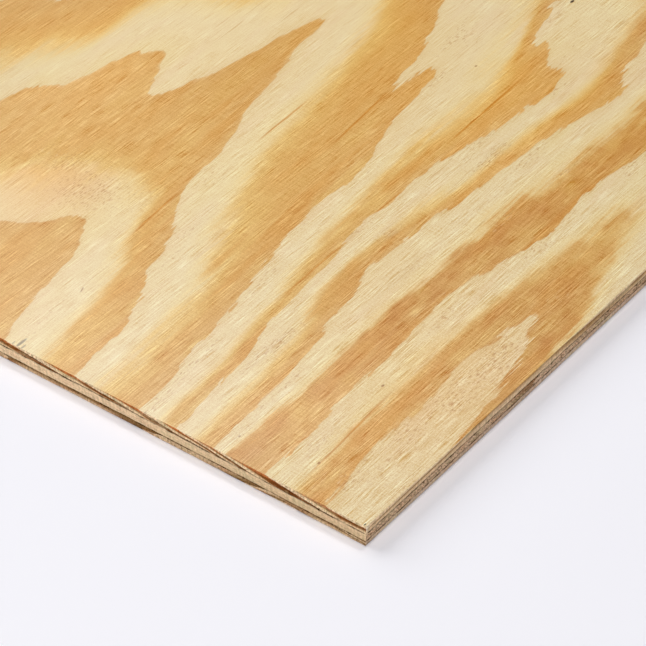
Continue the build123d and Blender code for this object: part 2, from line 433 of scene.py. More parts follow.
def veneer(name, kind, xs, ys, z_low, z_high, profile, seed):
    """One veneer as a closed skin. kind is face, with its fine grid on top, back, with it underneath, or core, with none.

    profile is the sawn edge from the grid's side to the hidden one: (inset, distance from the grid's side, share of random inset), in mm.
    Material slots: 0 the flat side that shows, 1 the ends at +-Y, 2 the long edges at +-X, 3 the hidden glue faces.
    """
    skin = Skin()
    nx, ny = len(xs), len(ys)
    up = kind != "back"
    z_first, way = (z_high, -1.0) if up else (z_low, 1.0)
    # The rim, counter-clockwise seen from above: grid column and row, side, and outward direction.
    rim = [(i, 0, 0) for i in range(nx - 1)] + [(nx - 1, j, 1) for j in range(ny - 1)]
    rim += [(i, ny - 1, 2) for i in range(nx - 1, 0, -1)] + [(0, j, 3) for j in range(ny - 1, 0, -1)]
    ci, cj = np.array([r[0] for r in rim]), np.array([r[1] for r in rim])
    side = np.array([r[2] for r in rim])
    bx, by = xs[ci], ys[cj]
    ox = np.where(ci == nx - 1, 1.0, 0.0) - np.where(ci == 0, 1.0, 0.0)
    oy = np.where(cj == ny - 1, 1.0, 0.0) - np.where(cj == 0, 1.0, 0.0)
    # A distance round the rim, for the random part of the sawn edge.
    step = np.hypot(np.diff(np.r_[bx, bx[:1]]), np.diff(np.r_[by, by[:1]]))
    round_rim = np.r_[0, np.cumsum(step)[:-1]] * 1000
    mx, my = (bx - WIDE / 2) * 1000, (by + LONG / 2) * 1000
    upper, lower = seam("upper", mx, my), seam("lower", mx, my)

    def level(k):
        inset, down, rough = profile[k]
        share = down / profile[-1][1]
        if kind == "core":
            lift = upper * ease(1 - 2 * share) + lower * ease(2 * share - 1)
        else:
            lift = (upper if up else lower) * ease(2 * share - 1)
        worn = 0.5 + 0.5 * wavy(seed + 7, (60.0, 17.0))(round_rim)
        if k == 0 or k == 1:
            inset = inset * (0.55 + 0.9 * worn.clip(0, 1.3))
            down = down * (0.55 + 0.9 * worn.clip(0, 1.3))
        noise = wavy(seed + 31 * k, (90.0, 22.0, 8.0))(round_rim)
        inset = inset + rough * (0.5 + 0.5 * noise).clip(0, 1)
        if kind == "face" and k < len(CHIPPED):
            inset = inset + np.where((ci == nx - 1) & (cj == 0), CHIPPED[k], 0.0)
        return bx - ox * inset / 1000, by - oy * inset / 1000, z_first + (way * down + lift) / 1000

    levels = []
    if kind == "core":
        x, y, z = level(0)
        levels.append(skin.add(np.c_[x, y, z]))
    else:
        gx, gy = np.meshgrid(xs, ys, indexing="ij")
        x, y, _ = level(0)
        gx[ci, cj], gy[ci, cj] = x, y
        # Dry veneer is never quite flat: the face dips by up to a tenth of a millimetre.
        wave = 0.5 + 0.5 * np.sin(gx * 9.1 + 1.3 * np.sin(gy * 4.7 + seed)) * np.sin(gy * 6.3 + 0.8 * np.sin(gx * 7.7))
        gz = z_first + way * 0.00009 * wave
        grid = skin.add(np.c_[gx.ravel(), gy.ravel(), gz.ravel()]).reshape(nx, ny)
        tu = 0.004 + 0.992 * (ys + LONG / 2) / LONG
        tv = 0.004 + 0.89 * (xs + WIDE / 2) / WIDE
        for i in range(nx - 1):
            for j in range(ny - 1):
                corners = [grid[i, j], grid[i + 1, j], grid[i + 1, j + 1], grid[i, j + 1]]
                uv = [(tu[j], tv[i]), (tu[j], tv[i + 1]), (tu[j + 1], tv[i + 1]), (tu[j + 1], tv[i])]
                skin.face(corners if up else corners[::-1], uv if up else uv[::-1], 0)
        levels.append(grid[ci, cj])
    for k in range(1, len(profile)):
        x, y, z = level(k)
        levels.append(skin.add(np.c_[x, y, z]))
    rows = strip_rows(kind)
    spans = np.r_[0, np.cumsum([max(0.15, math.hypot(b[0] - a[0], b[1] - a[1])) for a, b in zip(profile, profile[1:])])]
    spans = spans / spans[-1]
    n = len(rim)
    for b in range(n):
        c = (b + 1) % n
        s = side[b]
        along = (lambda i, j: (xs[i] + WIDE / 2) / WIDE) if s in (0, 2) else (lambda i, j: (ys[j] + LONG / 2) / LONG)
        t0, t1 = along(ci[b], cj[b]), along(ci[c], cj[c])
        chunk = next((q for q in rows[s] if q[0] <= (t0 + t1) / 2 <= q[1]), rows[s][-1])
        u0, u1 = (0.006 + 0.988 * (t - chunk[0]) / (chunk[1] - chunk[0]) for t in (t0, t1))
        for k in range(len(profile) - 1):
            v0, v1 = (chunk[2] + (chunk[3] - chunk[2]) * spans[m] for m in (k, k + 1))
            corners = [levels[k][b], levels[k + 1][b], levels[k + 1][c], levels[k][c]]
            uv = [(u0, v0), (u0, v1), (u1, v1), (u1, v0)]
            slot = 0 if kind == "face" and k == 0 else (1 if s in (0, 2) else 2)
            skin.face(corners if up else corners[::-1], uv if up else uv[::-1], slot)

    def close(loop, z, face_up, v_low):
        """A flat hidden face: triangles from the rim to an inner rectangle, and a coarse grid inside it."""
        ix, iy = np.linspace(-WIDE / 2 + 0.02, WIDE / 2 - 0.02, 14), np.linspace(-LONG / 2 + 0.02, LONG / 2 - 0.02, 26)
        gx, gy = np.meshgrid(ix, iy, indexing="ij")
        grid = skin.add(np.c_[gx.ravel(), gy.ravel(), np.full(gx.size, z)]).reshape(14, 26)

        def put(corners, places):
            uv = [(0.2 + 0.6 * (p[1] + LONG / 2) / LONG, v_low + 0.008 * (p[0] + WIDE / 2) / WIDE) for p in places]
            skin.face(corners if face_up else corners[::-1], uv if face_up else uv[::-1], 3)

        for i in range(13):
            for j in range(25):
                q = [(i, j), (i + 1, j), (i + 1, j + 1), (i, j + 1)]
                put([grid[a, b] for a, b in q], [(ix[a], iy[b]) for a, b in q])
        inner = [
            [(i, 0) for i in range(14)], [(13, j) for j in range(26)],
            [(i, 25) for i in range(13, -1, -1)], [(0, j) for j in range(25, -1, -1)],
        ]
        starts = [0, nx - 1, nx - 1 + ny - 1, 2 * (nx - 1) + ny - 1, n]
        for s in range(4):
            outer = [m % n for m in range(starts[s], starts[s + 1] + 1)]
            axis = 0 if s in (0, 2) else 1
            ot = [abs((bx, by)[axis][m] - (bx, by)[axis][outer[0]]) for m in outer]
            it = [abs((ix[a], iy[b])[axis] - (ix[inner[s][0][0]], iy[inner[s][0][1]])[axis]) + 0.02 for a, b in inner[s]]
            i = j = 0
            while i < len(outer) - 1 or j < len(it) - 1:
                o = (bx[outer[i]], by[outer[i]])
                q = (ix[inner[s][j][0]], iy[inner[s][j][1]])
                if j == len(it) - 1 or (i < len(outer) - 1 and ot[i + 1] <= it[j + 1]):
                    o2 = (bx[outer[i + 1]], by[outer[i + 1]])
                    put([loop[outer[i]], loop[outer[i + 1]], grid[inner[s][j]]], [o, o2, q])
                    i += 1
                else:
                    q2 = (ix[inner[s][j + 1][0]], iy[inner[s][j + 1][1]])
                    put([loop[outer[i]], grid[inner[s][j + 1]], grid[inner[s][j]]], [o, q2, q])
                    j += 1

    last_z = z_first + way * profile[-1][1] / 1000
    close(levels[-1], last_z, not up, 0.984)
    if kind == "core":
        close(levels[0], z_first, True, 0.97)
    me = skin.build(name)
    me.shade_smooth()
    me.set_sharp_from_angle(angle=math.radians(42))
    return me


# The photographed corner of the face is knocked off a little: mm of extra inset down its edge.
CHIPPED = (0.35, 0.40, 0.40, 0.35, 0.2)


def corner_mm(me):
    co = np.empty(len(me.vertices) * 3)
    me.vertices.foreach_get("co", co)
    co = co.reshape(-1, 3)
    return (co[:, 0] - WIDE / 2) * 1000, (co[:, 1] + LONG / 2) * 1000, co[:, 2] * 1000


def write(me, name, values):
    me.attributes.new(name, "FLOAT", "POINT").data.foreach_set("value", np.asarray(values, np.float32))


def place(me, node, materials):
    for m in materials:
        me.materials.append(m)
    ob = bpy.data.objects.new(me.name, me)
    bpy.context.scene.collection.objects.link(ob)
    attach(ob, "root")
    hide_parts(node)
    return ob


# ---------------------------------------------------------------- materials
ALBEDO = 0.90


def linear(r, g, b, scale=ALBEDO):
    """A colour as it shows in full light, turned into a surface colour."""
    return tuple(scale * ((c / 255 / 12.92) if c / 255 <= 0.04045 else ((c / 255 + 0.055) / 1.055) ** 2.4) for c in (r, g, b)) + (1.0,)


class Wire:
    """A number between nodes. Arithmetic on it adds math nodes."""

    def __init__(self, g, out):
        self.g, self.out = g, out

    def __add__(self, o):
        return self.g.math("ADD", self, o)

    def __sub__(self, o):
        return self.g.math("SUBTRACT", self, o)

    def __mul__(self, o):
        return self.g.math("MULTIPLY", self, o)

    def __rsub__(self, o):
        return self.g.math("SUBTRACT", o, self)

    __radd__, __rmul__ = __add__, __mul__


class Graph:
    def __init__(self, name):
        self.mat = bpy.data.materials.new(name)
        self.mat.use_nodes = True
        self.tree = self.mat.node_tree
        self.bsdf = self.tree.nodes["Principled BSDF"]
        self.seed = 0

    def put(self, socket, value):
        if isinstance(value, Wire):
            value = value.out
        if isinstance(value, bpy.types.NodeSocket):
            self.tree.links.new(value, socket)
        elif value is not None:
            socket.default_value = value

    def node(self, kind, inputs=(), out=0, **props):
        n = self.tree.nodes.new(kind)
        for k, v in props.items():
            setattr(n, k, v)
        for k, v in dict(inputs).items():
            self.put(n.inputs[k], v)
        return Wire(self, n.outputs[out])

    def math(self, op, a, b=None, c=None, clamp=False):
        return self.node("ShaderNodeMath", {i: v for i, v in enumerate((a, b, c)) if v is not None}, operation=op, use_clamp=clamp)

    def attribute(self, name):
        return self.node("ShaderNodeAttribute", out="Fac", attribute_type="GEOMETRY", attribute_name=name)

    def place(self):
        return self.node("ShaderNodeTexCoord", out="Object")

    def axis(self, vector, i):
        return self.node("ShaderNodeSeparateXYZ", {0: vector}, out=i)

    def vector(self, x, y, z):
        return self.node("ShaderNodeCombineXYZ", {0: x, 1: y, 2: z})

    def noise(self, vector, size, lean=0.0, detail=2.0, rough=0.55, flat=False):
        """Noise from -0.5 to 0.5 with features of size (x, y, z) in metres, turned by lean degrees about Z."""
        self.seed += 1
        shift = (1.7 * self.seed, 0.9 * self.seed, 0.31 * self.seed)
        v = self.node("ShaderNodeMapping", {"Vector": vector, "Location": shift, "Rotation": (0, 0, math.radians(lean)), "Scale": size}, vector_type="TEXTURE")
        return self.node("ShaderNodeTexNoise", {"Vector": v, "Scale": 1.0, "Detail": detail, "Roughness": rough}, noise_dimensions="2D" if flat else "3D") - 0.5

    def step(self, value, low, high, to_low=0.0, to_high=1.0):
        return self.node("ShaderNodeMapRange", {0: value, 1: low, 2: high, 3: to_low, 4: to_high}, interpolation_type="SMOOTHSTEP")

    def ramp(self, value, stops):
        n = self.tree.nodes.new("ShaderNodeValToRGB")
        self.put(n.inputs[0], value)
        el = n.color_ramp.elements
        while len(el) > 1:
            el.remove(el[-1])
        el[0].position, el[0].color = stops[0]
        for at, colour in stops[1:]:
            el.new(at).color = colour
        return Wire(self, n.outputs[0])

    def mix(self, factor, a, b, blend="MIX"):
        n = self.tree.nodes.new("ShaderNodeMix")
        n.data_type, n.blend_type = "RGBA", blend
        self.put(n.inputs[0], factor)
        self.put(n.inputs[6], a)
        self.put(n.inputs[7], b)
        return Wire(self, n.outputs[2])

    def mixed(self, factor, a, b):
        """A number that goes from a to b."""
        return a + (b - a) * factor

    def scale(self, colour, by):
        return self.node("ShaderNodeVectorMath", {0: colour, "Scale": by}, operation="SCALE")

    def bump(self, height, distance, strength=1.0):
        n = self.tree.nodes.new("ShaderNodeBump")
        n.inputs["Distance"].default_value = distance
        n.inputs["Strength"].default_value = strength
        self.put(n.inputs["Height"], height)
        self.put(self.bsdf.inputs["Normal"], n.outputs[0])

    def waved(self, vector, amount, size):
        """The place moved to and fro across the grain, so that no two fibres are quite parallel."""
        across = self.noise(vector, (size, size * 1.6, 1.0), detail=1.0) * (2 * amount)
        return self.node("ShaderNodeVectorMath", {0: vector, 1: self.vector(across, 0.0, 0.0)}, operation="ADD")


FACE_STOPS = [
    (0, linear(238, 211, 158)), (0.05, linear(242, 218, 167)), (0.26, linear(244, 222, 174)), (0.38, linear(245, 221, 166)), (0.48, linear(242, 209, 142)),
    (0.57, linear(235, 194, 119)), (0.66, linear(228, 180, 105)), (0.76, linear(227, 178, 105)), (0.88, linear(226, 178, 107)), (0.985, linear(225, 178, 110)), (1, linear(230, 190, 131)),
]
END_STOPS = [
    (0.00, linear(238, 211, 169)), (0.34, linear(238, 209, 165)), (0.45, linear(224, 188, 138)), (0.53, linear(184, 132, 82)),
    (0.61, linear(140, 86, 43)), (0.82, linear(124, 72, 34)), (1.0, linear(104, 58, 26)),
]


def face_material():
    g = Graph("veneer_face")
    p = g.place()
    ring, slope, wild = g.attribute("ring"), g.attribute("slope"), g.attribute("wild")
    speckled, stained = g.attribute("speckled"), g.attribute("stained")
    painted_falloff_and_tone, painted_sheen_and_bloom, coarse = g.attribute("painted_falloff_and_tone"), g.attribute("painted_sheen_and_bloom"), g.attribute("coarse")
    steep, ragged, deep = g.attribute("steep"), g.attribute("ragged"), g.attribute("deep")
    w = g.waved(g.waved(p, 0.0016, 0.16), 0.0004, 0.018)
    hair = g.noise(w, (0.00052, 0.0150, 1.0), -0.5, 1.0, flat=True)
    fine = g.noise(w, (0.0012, 0.042, 1.0), -0.8, 2.0, 0.6, flat=True)
    cord = g.noise(w, (0.0040, 0.080, 1.0), 2.0, 2.0, 0.6, flat=True)
    band = g.noise(w, (0.0140, 0.120, 1.0), 3.5, 2.0, flat=True)
    patch = g.noise(w, (0.060, 0.150, 1.0), 4.0, 2.0, flat=True)
    tint = g.noise(w, (0.011, 0.085, 1.0), 4.0, 2.0, flat=True)
    cloud = g.noise(w, (0.013, 0.022, 1.0), 4.0, 2.0, flat=True)
    grain = g.noise(p, (0.00055, 0.0010, 1.0), 0.0, 1.0, flat=True)
    sanded = g.noise(p, (0.0110, 0.00075, 1.0), 3.0, 1.0, flat=True)
    # The rings' sharp ends break along the fibres, more in some places than others.
    torn = g.step(g.noise(w, (0.030, 0.050, 1.0), 4.0, 1.0, flat=True), -0.12, 0.18, 0.25, 1.3)
    torn = torn * ragged
    jag = (g.noise(w, (0.0052, 0.300, 1.0), 4.0, 2.0, 0.65, flat=True) * 22.0 + g.noise(w, (0.0016, 0.09, 1.0), 4.0, 1.0, flat=True) * 9.0) * torn
    # Jogs across the grain, in mm: broad ones, and splinters at their ends.
    jog = g.step(g.noise(w, (0.0065, 0.030, 1.0), 4.0, 1.0, flat=True), -0.07, 0.07, -0.75, 0.75) + g.step(g.noise(w, (0.0020, 0.0120, 1.0), 4.0, 1.0, flat=True), -0.06, 0.10, -0.25, 0.45)
    jog = jog * g.step(g.math("ABSOLUTE", g.math("FRACT", ring) - 0.5), 0.10, 0.38, 0.2, 1.0)
    level = ring + slope * jag + steep * jog * ragged + cord * 0.04 + cloud * 0.03
    level = level + g.attribute("fuzzy") * (fine * 0.30 + hair * 0.22 + cord * 0.20)
    t = g.math("FRACT", level)
    soft = g.step(t, 0.12, 0.42) * g.step(t, 0.90, 0.975, 1.0, 0.0) * g.step(coarse, 0.7, 1.1, 0.7, 1.0)
    t = g.math("ADD", t, soft * (cord * 0.13 + fine * 0.17 + hair * 0.14 + band * 0.07 + cloud * 0.09 + patch * 0.07))
    t = t + g.step(deep, 0.3, 0.6) * 0.10 * g.step(t, 0.43, 0.54) * g.step(t, 0.62, 0.90, 1.0, 0.0)
    t = g.math("MINIMUM", g.math("MAXIMUM", t, 0.0), 0.999)
    late = g.step(t, 0.40, 0.60) * g.step(t, 0.99, 1.0, 1.0, 0.5)
    colour = g.ramp(t, FACE_STOPS)
    # Latewood: some patches run more orange, some more yellow, some paler.
    calm = g.step(coarse, 0.6, 1.1, 0.35, 1.0)
    colour = g.mix(late * calm * g.step(band * 0.6 + tint * 0.8 + cloud * 0.2, -0.04, 0.16, 0.0, 0.6), colour, linear(222, 162, 82))
    colour = g.mix(late * calm * g.step(tint * 0.9 + cloud * 0.2, -0.18, 0.0, 0.45, 0.0), colour, linear(233, 192, 114))
    colour = g.mix(late * deep * (cloud * 1.5 + 0.72) * g.step(t, 0.80, 0.96, 1.0, 0.55), colour, linear(204, 141, 79))
    # Earlywood: faint pink and green-yellow clouds.
    early = 1.0 - late
    colour = g.mix(early * g.step(tint, -0.20, 0.0, 0.35, 0.0), colour, linear(242, 214, 170))
    colour = g.mix(early * g.step(patch, 0.02, 0.18, 0.0, 0.45), colour, linear(244, 222, 164))
    # Streaks, stronger in the latewood, crossed by faint sanding marks.
    uneven = g.step(g.noise(w, (0.0050, 0.030, 1.0), 1.0, 1.0, flat=True), -0.16, 0.16, 0.45, 1.55)
    light = hair * (0.80 + late * 0.12) * uneven + fine * (0.15 + late * 0.13) + grain * 0.52 + sanded * (0.20 + late * 0.10)
    scratch = g.noise(w, (0.0008, 0.024, 1.0), -1.5, 1.0, flat=True)
    light = light + g.step(scratch, 0.14, 0.24) * (0.04 + late * 0.04) - g.step(scratch, -0.24, -0.16, 1.0, 0.0) * 0.012
    light = light * g.mixed(late, coarse * 0.70, coarse * 0.45 + 0.60) + cord * (0.05 + late * 0.06) + patch * 0.05
    # Long thin darker fibres here and there in the pale wood.
    thread = g.step(g.noise(w, (0.0010, 0.035, 1.0), 1.0, 2.0, flat=True), 0.12, 0.24) * g.step(g.noise(w, (0.010, 0.080, 1.0), 3.0, 1.0, flat=True), 0.02, 0.16)
    colour = g.mix(thread * early * 0.45, colour, linear(214, 168, 104))
    # Short brown dashes where the knife tore the soft wood.
    own = g.step(g.noise(w, (0.010, 0.045, 1.0), 4.0, 1.0, flat=True), 0.02, 0.22) * g.step(t, 0.0, 0.04) * g.step(t, 0.16, 0.34, 1.0, 0.0) * 0.52 * g.math("MINIMUM", ragged, 1.0)
    cluster = g.math("MAXIMUM", speckled, own)
    dash = g.noise(w, (0.0007, 0.0036, 1.0), -0.5, 1.0, flat=True)
    dashes = g.step(dash + cluster * 0.15, 0.16, 0.26) * g.math("MINIMUM", cluster * 1.6, 1.0)
    colour = g.mix(dashes * 0.55, colour, linear(192, 126, 62))
    pale = g.step(g.noise(w, (0.0008, 0.0050, 1.0), -0.5, 1.0, flat=True) + cluster * 0.12, 0.16, 0.32) * cluster
    colour = g.mix(pale * 0.45, colour, linear(244, 226, 184))
    colour = g.mix(stained * 0.36, colour, linear(214, 174, 122))
    # Resin.
    x, y = g.axis(w, 0), g.axis(w, 1)
    resin = None
    for x0, y0, x1, y1, half, strength in RESIN:
        ax, ay, bx, by = x0 / 1000 + WIDE / 2, y0 / 1000 - LONG / 2, x1 / 1000 + WIDE / 2, y1 / 1000 - LONG / 2
        length = math.hypot(bx - ax, by - ay)
        dx, dy = (bx - ax) / length, (by - ay) / length
        across = x * (-dy) + y * dx + (ax * dy - ay * dx)
        along = x * dx + y * dy - (ax * dx + ay * dy)
        one = g.step(g.math("ABSOLUTE", across), half * 0.0002, half * 0.0012, strength, 0.0)
        one = one * g.step(along, 0.0, length * 0.3) * g.step(along, length * 0.7, length, 1.0, 0.0)
        resin = one if resin is None else g.math("MAXIMUM", resin, one)
    # On the rest of the sheet, streaks lie at random, one or none in each cell.
    cells = g.node("ShaderNodeMapping", {"Vector": w, "Rotation": (0, 0, math.radians(4)), "Scale": (0.085, 0.31, 1.0)}, vector_type="TEXTURE")
    voronoi = g.node("ShaderNodeTexVoronoi", {"Vector": cells, "Scale": 1.0}, voronoi_dimensions="2D", out="Position")
    chance = Wire(g, voronoi.out.node.outputs["Color"])
    gap = g.node("ShaderNodeVectorMath", {0: cells, 1: voronoi}, operation="SUBTRACT")
    across = g.math("ABSOLUTE", g.axis(gap, 0) * 0.085 + fine * 0.0010)
    along = g.math("ABSOLUTE", g.axis(gap, 1) * 0.31)
    lone = g.step(across, 0.0002, 0.0011, 1.0, 0.0) * g.step(along, 0.008, 0.036, 1.0, 0.0) * g.step(g.axis(chance, 0), 0.45, 0.75) * wild
    resin = g.math("MAXIMUM", resin, lone * 0.8)
    colour = g.mix(resin * 0.85, colour, linear(208, 136, 50))
    # Dark marks; the one at the very corner is painted shade in the nick there.
    for cx, y_mark, half, length, lean, strength in MARKS_AND_NICK_SHADE:
        mx, my, a = cx / 1000 + WIDE / 2, y_mark / 1000 - LONG / 2, math.radians(lean)
        across = (x * math.cos(a) + y * math.sin(a)) - (mx * math.cos(a) + my * math.sin(a))
        along = (y * math.cos(a) - x * math.sin(a)) - (my * math.cos(a) - mx * math.sin(a))
        near = g.math("POWER", across * (1000 / half), 2.0) + g.math("POWER", along * (1000 / length), 2.0)
        colour = g.mix(g.step(near, 0.25, 1.3, strength, 0.0), colour, linear(*((84, 62, 40) if strength >= 1 else (142, 122, 98) if y_mark < 10 else (164, 104, 54))))
    # Torn fibres at the arris.
    rim = g.math("MINIMUM", g.axis(p, 1) + LONG / 2, WIDE / 2 - g.axis(p, 0))
    nibbled = g.step(rim, 0.0005, 0.0016, 1.0, 0.0) * g.step(g.noise(p, (0.0030, 0.0030, 1.0), 0.0, 3.0, 0.7, flat=True), 0.06, 0.26)
    colour = g.mix(nibbled * 0.4, colour, linear(160, 112, 72))
    warm, glow, cool = g.attribute("warm"), g.attribute("glow"), g.attribute("cool")
    # Where the wood is darker it is browner too.
    colour = g.node("ShaderNodeVectorMath", {0: colour, 1: g.vector(light * 0.57 + 1.0, light * 1.10 + 1.0, light * 1.90 + 1.0)}, operation="MULTIPLY")
    # Painted light: the painted falloff scales the colour, and the painted sheen is added on top, a quarter less on the
    # latewood.
    painted_sheen_and_bloom = painted_sheen_and_bloom * (1.0 - late * 0.25)
    painted_falloff_and_tone = painted_falloff_and_tone * (late * glow + late * 0.015 + 1.0)
    colour = g.node("ShaderNodeVectorMath", {0: colour, 1: g.vector(painted_falloff_and_tone, painted_falloff_and_tone * (1.0 - warm * early * 0.5 + cool * late * 0.3), painted_falloff_and_tone * (1.0 - warm * early + cool * late))}, operation="MULTIPLY")
    colour = g.node("ShaderNodeVectorMath", {0: colour, 1: g.vector(painted_sheen_and_bloom, painted_sheen_and_bloom, painted_sheen_and_bloom)}, operation="ADD")
    g.put(g.bsdf.inputs["Base Color"], colour)
    g.put(g.bsdf.inputs["Roughness"], 0.56 - late * 0.06 + fine * 0.10 - resin * 0.12)
    g.bsdf.inputs["Specular IOR Level"].default_value = 0.35
    g.bump(hair * 0.5 + fine * 0.5 + cord * 0.5 + grain * 0.15, 0.00020, 0.5)
    return g.mat


def edge_noise(g, p, along, long, high, lean=0.0, detail=2.0, rough=0.6):
    """Noise in the plane of a sawn edge: features long by high in metres, tipped by lean degrees."""
    a = math.radians(lean)
    u, z = g.axis(p, 0 if along == "x" else 1), g.axis(p, 2)
    return g.noise(g.vector(u * math.cos(a) + z * math.sin(a), z * math.cos(a) - u * math.sin(a), 0.0), (long, high, 1.0), 0.0, detail, rough, flat=True)


def glued(g, p, along, seams, colour, strength=1.0):
    """Dark broken lines of glue along the ply's seams, with the wood beside them stained."""
    broken = g.step(edge_noise(g, p, along, 0.0075, 0.0060), -0.14, 0.08, 0.40, 1.0)
    dash = g.step(edge_noise(g, p, along, 0.0018, 0.0050, detail=1.0), -0.14, 0.04, 0.62, 1.0)
    ragged = edge_noise(g, p, along, 0.0034, 0.0200) * 0.7
    for name in seams:
        near = g.math("ABSOLUTE", g.attribute(name) + ragged)
        colour = g.mix(g.step(near, 0.10, 0.80, 0.45 * strength, 0.0) * broken, colour, linear(138, 102, 60))
        colour = g.mix(g.step(near, 0.15, 0.38, strength, 0.0) * broken * dash, colour, linear(70, 38, 12))
    return colour


def end_material(name, along, seams, stops, red=0.0, lean=90.0, coarse=1.0, late_at=0.50):
    """End grain, as the face and back show it at +-Y, and the core at +-X. The saw marks lean by lean degrees."""
    g = Graph(name)
    p = g.place()
    z = g.axis(p, 2)
    ring = g.attribute("ring")
    saw = edge_noise(g, p, along, 0.0036, 0.0009, lean)
    pore = edge_noise(g, p, along, 0.0014, 0.00085)
    blot = edge_noise(g, p, along, 0.0080, 0.0016)
    big = edge_noise(g, p, along, 0.035, 0.005)
    hue = edge_noise(g, p, along, 0.012, 0.003)
    t = g.math("FRACT", ring + pore * 0.08 + blot * 0.07)
    t = g.math("MINIMUM", g.math("MAXIMUM", t + blot * 0.06 + pore * 0.05, 0.0), 0.999)
    colour = g.ramp(t, stops)
    late = g.step(t, late_at, late_at + 0.14)
    if red:
        colour = g.mix(late * g.step(z, Z_TOP - 0.0018, Z_TOP - 0.0004, 0.0, red), colour, linear(212, 124, 66))
    colour = g.mix(g.step(big, -0.02, 0.2, 0.0, 0.35), colour, linear(212, 184, 142))
    colour = g.mix(g.step(hue, -0.22, -0.04, 0.3, 0.0), colour, linear(198, 136, 92))
    colour = g.mix(g.step(hue, 0.06, 0.2, 0.0, 0.3), colour, linear(190, 178, 128))
    dots = g.step(edge_noise(g, p, along, 0.0013, 0.0008, detail=1.0), 0.14, 0.28)
    colour = g.mix(dots * 0.55 * coarse, colour, linear(100, 68, 40))
    colour = glued(g, p, along, seams, colour)
    light = (saw * 1.05 + pore * 1.45 + blot * 0.55) * coarse + 1.01
    colour = g.node("ShaderNodeVectorMath", {0: colour, 1: g.vector(light, light * 1.05 - 0.05, light * 1.15 - 0.15)}, operation="MULTIPLY")
    g.put(g.bsdf.inputs["Base Color"], colour)
    g.put(g.bsdf.inputs["Roughness"], 0.78 + saw * 0.15)
    g.bsdf.inputs["Specular IOR Level"].default_value = 0.0
    g.bump(saw + pore * 0.8 - dots * 0.4, 0.00022, 0.6)
    return g.mat


def edge_material(name, along, seams, stops, attribute, coarse=1.0, speck=0.4, chip_and_highlight=False):
    """Long grain in a sawn edge. along is the axis, x or y, that the grain and the edge run along."""
    g = Graph(name)
    p = g.place()
    ring = g.attribute(attribute)
    grain = edge_noise(g, p, along, 0.0150, 0.00065)
    saw = edge_noise(g, p, along, 0.0011, 0.0070, 8.0)
    pore = edge_noise(g, p, along, 0.0018, 0.00075)
    big = edge_noise(g, p, along, 0.034, 0.006)
    hue = edge_noise(g, p, along, 0.015, 0.0040)
    t = g.math("MINIMUM", g.math("MAXIMUM", g.math("FRACT", ring + grain * 0.06) + grain * 0.10 + pore * 0.05, 0.0), 0.999)
    colour = g.ramp(t, stops)
    colour = g.mix(g.step(big, 0.02, 0.2, 0.0, 0.4), colour, linear(226, 196, 158))
    colour = g.mix(g.step(hue, -0.22, -0.05, 0.3, 0.0), colour, linear(222, 178, 142))
    colour = g.mix(g.step(hue, 0.05, 0.2, 0.0, 0.4), colour, linear(208, 192, 148))
    specks = g.step(edge_noise(g, p, along, 0.0028, 0.0008, detail=1.0), 0.18, 0.30)
    colour = g.mix(specks * speck, colour, linear(122, 90, 60))
    # Painted highlight: by the corner the pale chip turns near white, partly the chip's fresh wood, partly a painted
    # highlight down the corner's edge.
    if chip_and_highlight:
        colour = g.mix(g.attribute("chip_and_highlight"), colour, linear(255, 240, 212))
    colour = glued(g, p, along, seams, colour)
    light = (grain * 0.30 + saw * 0.46 + pore * 0.58) * coarse + 1.01
    colour = g.node("ShaderNodeVectorMath", {0: colour, 1: g.vector(light, light * 1.05 - 0.05, light * 1.15 - 0.15)}, operation="MULTIPLY")
    g.put(g.bsdf.inputs["Base Color"], colour)
    g.put(g.bsdf.inputs["Roughness"], 0.75 + grain * 0.2)
    g.bsdf.inputs["Specular IOR Level"].default_value = 0.0
    g.bump(grain + saw * 0.8 + pore * 0.5 - specks * 0.4, 0.00018, 0.6)
    return g.mat


def back_material():
    """The unsanded underside: the same wood, duller, with more open grain."""
    g = Graph("veneer_back")
    p = g.place()
    ring, slope = g.attribute("ring"), g.attribute("slope")
    w = g.waved(p, 0.003, 0.2)
    fine = g.noise(w, (0.0016, 0.045, 1.0), 0.0, 2.0, 0.6, flat=True)
    cord = g.noise(w, (0.0050, 0.140, 1.0), 1.0, 2.0, 0.6, flat=True)
    patch = g.noise(w, (0.080, 0.200, 1.0), 1.0, 2.0, flat=True)
    jag = g.noise(w, (0.0060, 0.300, 1.0), 1.0, 2.0, 0.65, flat=True) * 26.0
    t = g.math("FRACT", ring + slope * jag + cord * 0.03)
    soft = g.step(t, 0.12, 0.42) * g.step(t, 0.90, 0.985, 1.0, 0.0)
    t = g.math("MINIMUM", g.math("MAXIMUM", t + soft * (cord * 0.3 + patch * 0.2), 0.0), 0.999)
    colour = g.ramp(t, FACE_STOPS)
    colour = g.mix(0.35, colour, linear(204, 172, 126))
    colour = g.mix(g.step(patch, 0.0, 0.2, 0.0, 0.35), colour, linear(190, 160, 120))
    dash = g.step(g.noise(w, (0.0010, 0.0060, 1.0), 0.0, 1.0, flat=True), 0.16, 0.28) * g.step(patch, -0.1, 0.12)
    colour = g.mix(dash * 0.4, colour, linear(150, 116, 80))
    colour = g.scale(colour, fine * 0.22 + cord * 0.16 + 1.0)
    g.put(g.bsdf.inputs["Base Color"], colour)
    g.put(g.bsdf.inputs["Roughness"], 0.70 + fine * 0.15)
    g.bsdf.inputs["Specular IOR Level"].default_value = 0.25
    g.bump(fine + cord - dash * 0.5, 0.00035, 0.6)
    return g.mat


